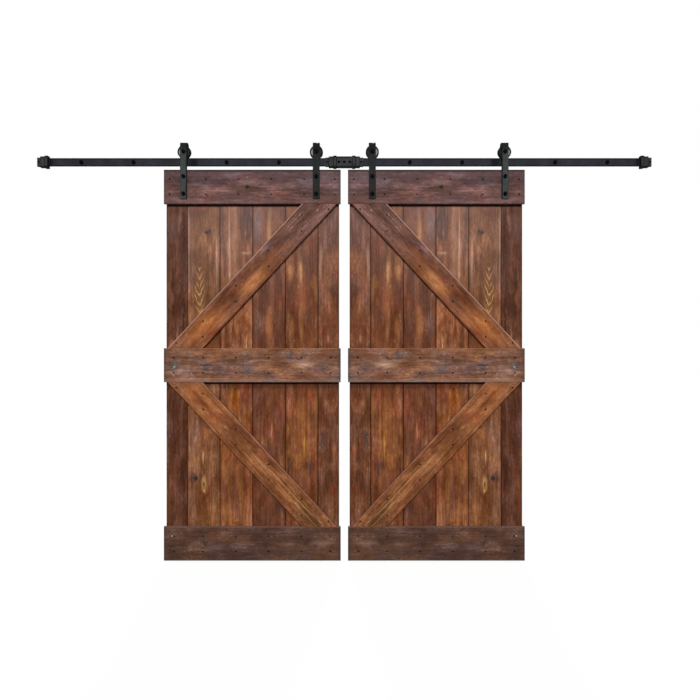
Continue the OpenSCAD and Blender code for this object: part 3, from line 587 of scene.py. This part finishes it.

# %% [markdown]
# The boards lie across the planks and the braces slant between them, so their grain is turned with them.
# A second recipe with its grain along X could serve the boards, and a third one the braces;
# turning the place that one recipe reads is less work, and keeps all the wood alike.
# On a board X runs down its face and Z to its inner end; on a brace X runs to its lower edge.

# %% Looks of the boards and braces
# turn is the grain's, in degrees from upright, and BRACE_ANGLE the slope of a brace, in degrees from level.
# pale and sparse are a board's own colour of flecks, and the noise above which they show.
# Bands darken the ends of the boards, most at the very end, which is painted shade of a rounded end.
# The upper edges of the braces and of the middle and bottom boards are pale, as wear and painted highlight
# from above, and the lower brace has a painted shade line at that edge.
BRACE_ANGLE = 47.11
# At the very ends, painted shade of a rounded end; further in, a wider, lighter darkening.
ENDS_STAIN_AND_SHADE = [("Z", -474, -480, "#1d1618", 0.7), ("Z", 474, 480, "#1d1618", 0.7),
             ("Z", -461, -470, "#4a3835", 0.35), ("Z", 461, 470, "#4a3835", 0.35)]
# Upper brace, upper edge: a pale band of wear and painted highlight from above.
UPPER_BRACE_WEAR_AND_HIGHLIGHT = [("X", -63.5, -66, "#b59888", 0.62)]
# Lower brace: a pale band of wear and painted highlight, and a dark painted shade line at the edge.
LOWER_BRACE_WEAR_HIGHLIGHT_AND_SHADE = [("X", -64, -66.5, "#a87c64", 0.55), ("X", -68.4, -69.4, "#3f271d", 0.75)]
BOARDS = {
    "top_board": {
        # Its grey-purple tone, and the purple-grey band over its upper half, are stain and painted sheen.
        "turn": 90, "tone": "#5a403d", "pale": "#b08b7e", "log": (0.01, 0.06, 0.02, 0.012, 0.02),
        "smoke": 0.4, "rust": 0.35, "honey": 0.1, "fleck": 0.6, "streak": 0.7, "mottle": 0.7,
        "knots": [(2, -27, 11, 14, "#2a1f1c", 0.92), (46, -245, 12, 12, "#2e211c", 0.88)],
        "marks": [(20, -175, 26, 190, "#80574e", 0.5), (-36, -213, 26, 90, "#4c4048", 0.5),
                  (-40, 330, 30, 120, "#5a4850", 0.5), (68, 93, 24, 40, "#3f3840", 0.6),
                  (5, 103, 18, 60, "#8d6054", 0.45)],
        "bands": ENDS_STAIN_AND_SHADE + [("X", 0, -70, "#58434a", 0.35), ("X", 20, 80, "#7a544c", 0.25),
                              ("X", -79, -85, "#241617", 0.9)]},
    "middle_board": {
        "turn": 90, "tone": "#755140", "pale": "#b3917a", "log": (0, 0.06, 0.02, 0.012, 0.015),
        "smoke": 0.5, "rust": 0.4, "honey": 0.4, "fleck": 0.6, "sparse": 0.56,
        "streak": 0.35, "mottle": 0.68,
        "marks": [(-76, 0, 14, 480, "#9a6238", 0.4), (0, -425, 34, 34, "#55504f", 0.8),
                  (5, -425, 7, 7, "#a8a09e", 0.7), (9, -251, 34, 40, "#4f4646", 0.75),
                  (20, -33, 30, 44, "#544a4c", 0.65), (-56, 202, 26, 26, "#585150", 0.75),
                  (9, 380, 26, 32, "#524846", 0.65), (0, 275, 20, 110, "#b08257", 0.35),
                  (-40, 90, 34, 90, "#8d6340", 0.4), (-62, -295, 10, 26, "#b07c44", 0.5),
                  (72, -250, 3, 200, "#b88a66", 0.5)],
        # Its band from -87 to -91 mm, pale along the upper edge, is wear and painted highlight from above.
        "bands": ENDS_STAIN_AND_SHADE + [("X", -87, -91, "#b08058", 0.3), ("X", 72, 84, "#94766a", 0.35)]},
    "bottom_board": {
        "turn": 90, "tone": "#50372c", "pale": "#93745c", "log": (0, 0.06, 0.02, 0.012, 0.015),
        "smoke": 0.3, "rust": 0.15, "honey": 0.15, "fleck": 0.5, "sparse": 0.56,
        "streak": 0.22, "mottle": 0.42,
        "knots": [(-5, -256, 20, 22, "#302a28", 0.7)],
        "marks": [(-44, -436, 4, 5, "#c89868", 0.7), (4, 210, 16, 70, "#7d5c46", 0.45),
                  (-6, 385, 14, 80, "#7d5c46", 0.45), (-2, -40, 14, 50, "#765846", 0.4),
                  (0, -310, 18, 50, "#70503f", 0.4), (55, 20, 40, 130, "#40363b", 0.5)],
        # Its band from -87 to -91 mm, pale along the upper edge, is wear and painted highlight from above.
        "bands": ENDS_STAIN_AND_SHADE + [("X", -87, -91, "#86685a", 0.4), ("X", 10, 93, "#3a2822", 0.3)]},
    "upper_brace": {
        "turn": 90 - BRACE_ANGLE, "tone": "#77462c", "log": (0.01, 0.05, 0.02, 0.012, 0.02),
        "smoke": 0.1, "rust": 0.45, "honey": 0.35, "fleck": 0.65, "streak": 0.55, "mottle": 0.45,
        # The first mark, grey-brown over one half of the brace, is darker stain and painted sheen.
        "marks": [(0, 500, 200, 430, "#60423b", 0.88), (14, -158, 26, 34, "#4a2b22", 0.5),
                  (-36, 422, 7, 8, "#b09080", 0.35), (14, 505, 9, 12, "#c0a090", 0.3),
                  (-5, -370, 60, 160, "#a8642e", 0.4), (-50, 60, 30, 260, "#5c3b33", 0.6),
                  (-46, 172, 26, 64, "#443435", 0.75), (28, 0, 36, 160, "#a86a3a", 0.5),
                  (53, -376, 14, 40, "#8a3a1c", 0.5)],
        "bands": UPPER_BRACE_WEAR_AND_HIGHLIGHT},
    "lower_brace": {
        "turn": 90 + BRACE_ANGLE, "tone": "#804e2e", "log": (0.01, 0.05, 0.02, 0.012, 0.02),
        "smoke": 0.15, "rust": 0.6, "honey": 0.4, "fleck": 0.7, "streak": 0.6, "mottle": 0.5,
        "marks": [(0, -400, 70, 160, "#a5653c", 0.6), (-46, -60, 26, 280, "#653522", 0.65),
                  (20, -290, 24, 60, "#8f4426", 0.5), (10, 480, 80, 150, "#57351f", 0.85),
                  (-15, 300, 3.5, 260, "#d9a868", 0.45), (8, 380, 3, 180, "#d2a062", 0.4),
                  (-32, 330, 3, 170, "#d2a062", 0.3), (22, 190, 3, 150, "#c9935a", 0.3),
                  (-4, 60, 3, 120, "#c99a6a", 0.35), (-3, -459, 16, 20, "#9a3f1c", 0.7),
                  (2, -207, 14, 14, "#b98a58", 0.4)],
        "bands": LOWER_BRACE_WEAR_HIGHLIGHT_AND_SHADE},
}
print("marks on each board", {name: len(look["marks"]) for name, look in BOARDS.items()})

# %% [markdown]
# The place of a board could be typed in, but then it would have to follow every change of the solids.
# So it is read from the board's own box, as for the planks. Boards are rubbed more often, so they shine more.

# %% Boards and braces
BOARD_GLOSS, FIRST_SEED, SEED_STEP = 0.1, 100, 5.9
for k, (name, look) in enumerate(BOARDS.items()):
    low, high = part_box(f"left_{name}")
    look["gloss"] = BOARD_GLOSS
    middle = ((low.x + high.x) / 2, low.y, (low.z + high.z) / 2)
    seed = SEED_STEP * k + FIRST_SEED
    wood = stained_pine("stained pine " + name.replace("_", " "), middle, look["turn"], seed, look)
    for side in ("left", "right"):
        dress(f"{side}_{name}", wood)
print("boards", list(BOARDS))

# %% [markdown]
# The hardware is black. Rails and straps are flat steel with a baked powder coat, which lies as a fine
# orange peel. Bolts and screws are dipped in black oxide, smoother and deeper in tone. Stops and joiner are
# matt castings, and only the bearings, hidden in the hubs, are bare ground steel.
# One flat black could serve them all, but then nothing would tell a casting from a strap,
# so each has its own tone, roughness and relief.
# A white room shines in every black surface, so the gloss is low, or no edge would stay dark.

# %% Kinds of black
BLACKS = {
    # name: colour, roughness, gloss level, metallic, grain in mm, relief in mm
    "powder coated rail steel": ("#282930", 0.55, 0.05, 0.0, 2.2, 0.05),
    # The outer and inner straps are one powder coat, painted lighter on the outer ones and darker on the
    # inner ones for the light and shade that fall on them.
    "powder coated outer strap": ("#3d4040", 0.52, 0.05, 0.0, 2.2, 0.05),
    "powder coated inner strap": ("#1e211f", 0.52, 0.05, 0.0, 2.2, 0.05),
    "black oxide fasteners": ("#030304", 0.5, 0.02, 0.0, 1.4, 0.02),
    "matt black castings": ("#363637", 0.65, 0.05, 0.0, 3.0, 0.08),
    "ground bearing steel": ("#a4a6aa", 0.3, 0.5, 1.0, 1.0, 0.01),
}
print("kinds of black", list(BLACKS))

# %% [markdown]
# Dust lies unevenly. The rail and the castings are darker towards their top and bottom edges, and the straps
# towards their tops. Painted shade darkens the outer straps' side edges, and dirt and painted shade draw
# dark lines at the castings' steps. Painted shadow lies on the rail beside the outer wheels and beside
# the end stops' collars.
# It could be a thin solid of its own, but that would stand in the wheels' way, so it is in the finish.

# %% Black finishes
# Darkening is (axis, plain, darkest, share), and grime and shade lines (middle, half width),
# in mm, with X from the track's middle
DUST_SIZE, DUST_SPAN = 60 * MM, (0.3, 0.7)
ROUGH_LESS, ROUGH_MORE, SHADE_SPAN = 0.06, 0.08, (0.7, 1.3)
DARKENING_TONE, GRIME_SHADE_SHARE, GRIME_SHADE_CORE = paint("#050506"), 0.85, 0.3
PEEL_SHOW = 0.4
DARKENING_AND_SHADE = {
    # On the rail, the band from 1585 to 1605 mm is painted shadow beside the end stops' collars.
    "powder coated rail steel": [("Z", 12, 19, 0.9), ("Z", -15, -20, 0.9), ("X", 1585, 1605, 0.8)],
    # The outer strap's bands across X are painted shade at its side edges.
    "powder coated outer strap": [("Z", 30, 85, 0.85), ("X", 867, 860, 0.85), ("X", 890, 895, 0.6)],
    "powder coated inner strap": [("Z", 20, 70, 0.85)],
    "matt black castings": [("Z", 19, 27, 0.9), ("Z", -19, -27, 0.9)],
}
GRIME_AND_SHADE_LINES = {
    # On the rail, the line at 826 mm is painted shadow of the outer wheels and straps.
    "powder coated rail steel": [(826, 36)],
    # The castings' lines at their steps are dirt and painted shade.
    "matt black castings": [(step, 3.5) for step in (42.7, 60.2, 85.2, 1619, 1636.5, 1661.5)],
}
blacks = {}
for name, (code, rough, gloss, metal, grain, relief) in BLACKS.items():
    blacks[name], tree = new_material(name)
    where = add(tree, "TexCoord").outputs["Object"]
    peel = add(tree, "TexNoise", where, 1 / (grain * MM), 2)
    dust = add(tree, "TexNoise", where, 1 / DUST_SIZE, 3)
    dull = add(tree, "MapRange", dust, *DUST_SPAN, rough - ROUGH_LESS, rough + ROUGH_MORE)
    shade = add(tree, "MapRange", dust, *DUST_SPAN, *SHADE_SPAN)
    shade = add(tree, "VectorMath", paint(code)[:3], Scale=shade, operation="SCALE")
    spot = add(tree, "SeparateXYZ", where)
    from_middle = add(tree, "Math", spot.outputs["X"], operation="ABSOLUTE")
    for axis, plain_at, dark_at, amount in DARKENING_AND_SHADE.get(name, []):
        place = from_middle if axis == "X" else spot.outputs[axis]
        mask = add(tree, "MapRange", place, plain_at * MM, dark_at * MM, 0, amount,
                   interpolation_type="SMOOTHSTEP")
        shade = add(tree, "Mix", mask, shade, DARKENING_TONE, data_type="RGBA")
    for at, half in GRIME_AND_SHADE_LINES.get(name, []):
        away = add(tree, "Math", from_middle, at * MM, operation="SUBTRACT")
        away = add(tree, "Math", away, operation="ABSOLUTE")
        mask = add(tree, "MapRange", away, half * MM, half * GRIME_SHADE_CORE * MM, 0, GRIME_SHADE_SHARE,
                   interpolation_type="SMOOTHSTEP")
        shade = add(tree, "Mix", mask, shade, DARKENING_TONE, data_type="RGBA")
    bump = add(tree, "Bump", Strength=PEEL_SHOW, Distance=relief * MM, Height=peel)
    skin = add(tree, "BsdfPrincipled", shade, Metallic=metal, Roughness=dull, Normal=bump,
               Specular_IOR_Level=gloss)
    add(tree, "OutputMaterial", skin)
print("black finishes", len(blacks))

# %% [markdown]
# Every piece of hardware gets its finish by the way its node's name ends. A list of all the nodes
# could do it too, but the names already say what each piece is.

# %% Hardware
FINISHES = {
    "powder coated rail steel": ("rail", "spacers", "back_plate"),
    "powder coated outer strap": ("outer_hanger",),
    "powder coated inner strap": ("inner_hanger",),
    "black oxide fasteners": ("bolts", "nuts", "screws"),
    "matt black castings": ("stop", "channel"),
    "ground bearing steel": ("rings", "ring", "balls", "bushes"),
}
dressed = 0
for node_name in nodes:
    for finish, endings in FINISHES.items():
        if node_name.endswith(endings):
            dress(node_name, blacks[finish])
            dressed += 1
print("hardware nodes", dressed)

# %% [markdown]
# The wheels are turned from black nylon. Beside the straps, their recessed webs carry a pale painted
# reflection on the side away from the middle and painted shade on the side towards it,
# while the rims and hubs are rubbed dark.
# A ring of another material would need its own solid, so the distance from the axle picks the tone.
# The outer and inner wheels have axles of their own, which are the middles of the wheels' boxes.

# %% Nylon wheels
# The marks of the turning tool are drawn coarser than real ones, to show
HUB_R, RIM_R, ZONE_EASE, WEB_FADE = 18.5 * MM, 29 * MM, 1 * MM, 12 * MM
# The web's pale tone is a painted reflection on the side away from the middle; its dark tone is painted
# shade.
RUBBED, WEB_PAINTED_SHADE, WEB_PAINTED_GLINT = paint("#08080a"), paint("#262628"), paint("#8c8d8f")
NYLON_ROUGH, NYLON_GLOSS = 0.5, 0.04
TOOL_STEP, TOOL_RELIEF, TOOL_SHOW = 0.8 * MM, 0.02 * MM, 0.3
for wheel in ("outer", "inner"):
    low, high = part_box(f"right_{wheel}_wheel")
    axle_x, axle_z = (low.x + high.x) / 2, (low.z + high.z) / 2
    nylon, tree = new_material(f"black nylon {wheel} wheel")
    place = add(tree, "SeparateXYZ", add(tree, "TexCoord").outputs["Object"])
    side_x = add(tree, "Math", place.outputs["X"], operation="ABSOLUTE")
    side_x = add(tree, "Math", side_x, axle_x, operation="SUBTRACT")
    side_z = add(tree, "Math", place.outputs["Z"], axle_z, operation="SUBTRACT")
    spoke = add(tree, "CombineXYZ", side_x, 0, side_z)
    spoke = add(tree, "VectorMath", spoke, operation="LENGTH").outputs["Value"]
    past_hub = add(tree, "MapRange", spoke, HUB_R - ZONE_EASE, HUB_R + ZONE_EASE, 0, 1)
    before_rim = add(tree, "MapRange", spoke, RIM_R + ZONE_EASE, RIM_R - ZONE_EASE, 0, 1)
    web = add(tree, "Math", past_hub, before_rim, operation="MULTIPLY")
    outward = add(tree, "MapRange", side_x, -WEB_FADE, WEB_FADE, 0, 1)
    web_glint_and_shade = add(tree, "Mix", outward, WEB_PAINTED_SHADE, WEB_PAINTED_GLINT, data_type="RGBA")
    tone = add(tree, "Mix", web, RUBBED, web_glint_and_shade, data_type="RGBA")
    turned = add(tree, "Math", spoke, 2 * math.pi / TOOL_STEP, operation="MULTIPLY")
    turned = add(tree, "Math", turned, operation="SINE")
    bump = add(tree, "Bump", Strength=TOOL_SHOW, Distance=TOOL_RELIEF, Height=turned)
    skin = add(tree, "BsdfPrincipled", tone, Roughness=NYLON_ROUGH, Normal=bump,
               Specular_IOR_Level=NYLON_GLOSS)
    add(tree, "OutputMaterial", skin)
    for side in ("left", "right"):
        dress(f"{side}_{wheel}_wheel", nylon)
    print(wheel, "axle at", round(axle_x / MM, 1), "mm aside and", round(axle_z / MM, 1), "mm up")

# %% [markdown]
# The wall bolts are lag bolts, whose free ends carry a coarse thread. The solids have plain cylinders there.
# A helix could be drawn point by point; the Screw modifier makes it from one small triangle,
# which is how a thread is cut: a pointed tool that moves a pitch along the bolt for each turn.
# The sweep leaves both ends open, so they are filled, and its faces are turned outwards.

# %% One thread
PITCH, TURNS, TURN_STEPS = 3 * MM, 5, 20
ROOT_R, RIDGE, SAME_POINT = 4.45 * MM, 0.55 * MM, 0.01 * MM

bpy.ops.object.select_all(action="DESELECT")
bpy.ops.mesh.primitive_circle_add(vertices=3, radius=RIDGE, fill_type="NOTHING",
                                  rotation=(0, 0, -math.pi / 2), location=(ROOT_R, 2 * RIDGE, 0))
thread = bpy.context.object
bpy.ops.object.transform_apply(location=True, rotation=True, scale=True)
bpy.ops.object.modifier_add(type="SCREW")
screw = thread.modifiers[0]
screw.axis, screw.angle, screw.screw_offset = "Y", 2 * math.pi, PITCH
screw.iterations, screw.steps, screw.render_steps = TURNS, TURN_STEPS, TURN_STEPS
bpy.ops.object.modifier_apply(modifier=screw.name)
bpy.ops.object.mode_set(mode="EDIT")
bpy.ops.mesh.select_all(action="SELECT")
bpy.ops.mesh.remove_doubles(threshold=SAME_POINT)
bpy.ops.mesh.fill_holes(sides=3)
bpy.ops.mesh.select_all(action="SELECT")
bpy.ops.mesh.normals_make_consistent(inside=False)
bpy.ops.object.mode_set(mode="OBJECT")
print("one thread", len(thread.data.polygons), "faces")

# %% [markdown]
# All the bolts are alike, so the thread is copied to each, with its place put in its mesh.
# A modifier could repeat it, but the bolts don't stand at one distance from each other.
# The copies are joined, as one piece that moves with the track.

# %% Wall bolt threads
BOLT_XS = [358 * MM, 644 * MM, 1153 * MM, 1439 * MM]

threads = []
for x in [side * x for side in (-1, 1) for x in BOLT_XS]:
    bpy.ops.object.select_all(action="DESELECT")
    thread.select_set(True)
    bpy.context.view_layer.objects.active = thread
    bpy.ops.object.duplicate(linked=False)
    copy = bpy.context.object
    copy.location.x = x
    bpy.ops.object.transform_apply(location=True, rotation=False, scale=False)
    threads.append(copy)
bpy.data.objects.remove(thread)
bpy.ops.object.select_all(action="DESELECT")
for copy in threads:
    copy.select_set(True)
bpy.context.view_layer.objects.active = threads[0]
bpy.ops.object.join()
wall_threads = bpy.context.object
wall_threads.name = "wall_bolt_threads"
wall_threads.data.materials.clear()
wall_threads.data.materials.append(blacks["black oxide fasteners"])
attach(wall_threads, "track")
corners = (wall_threads.bound_box[0], wall_threads.bound_box[6])
print("threads", len(wall_threads.data.polygons), "faces", [[round(v / MM, 1) for v in c] for c in corners])
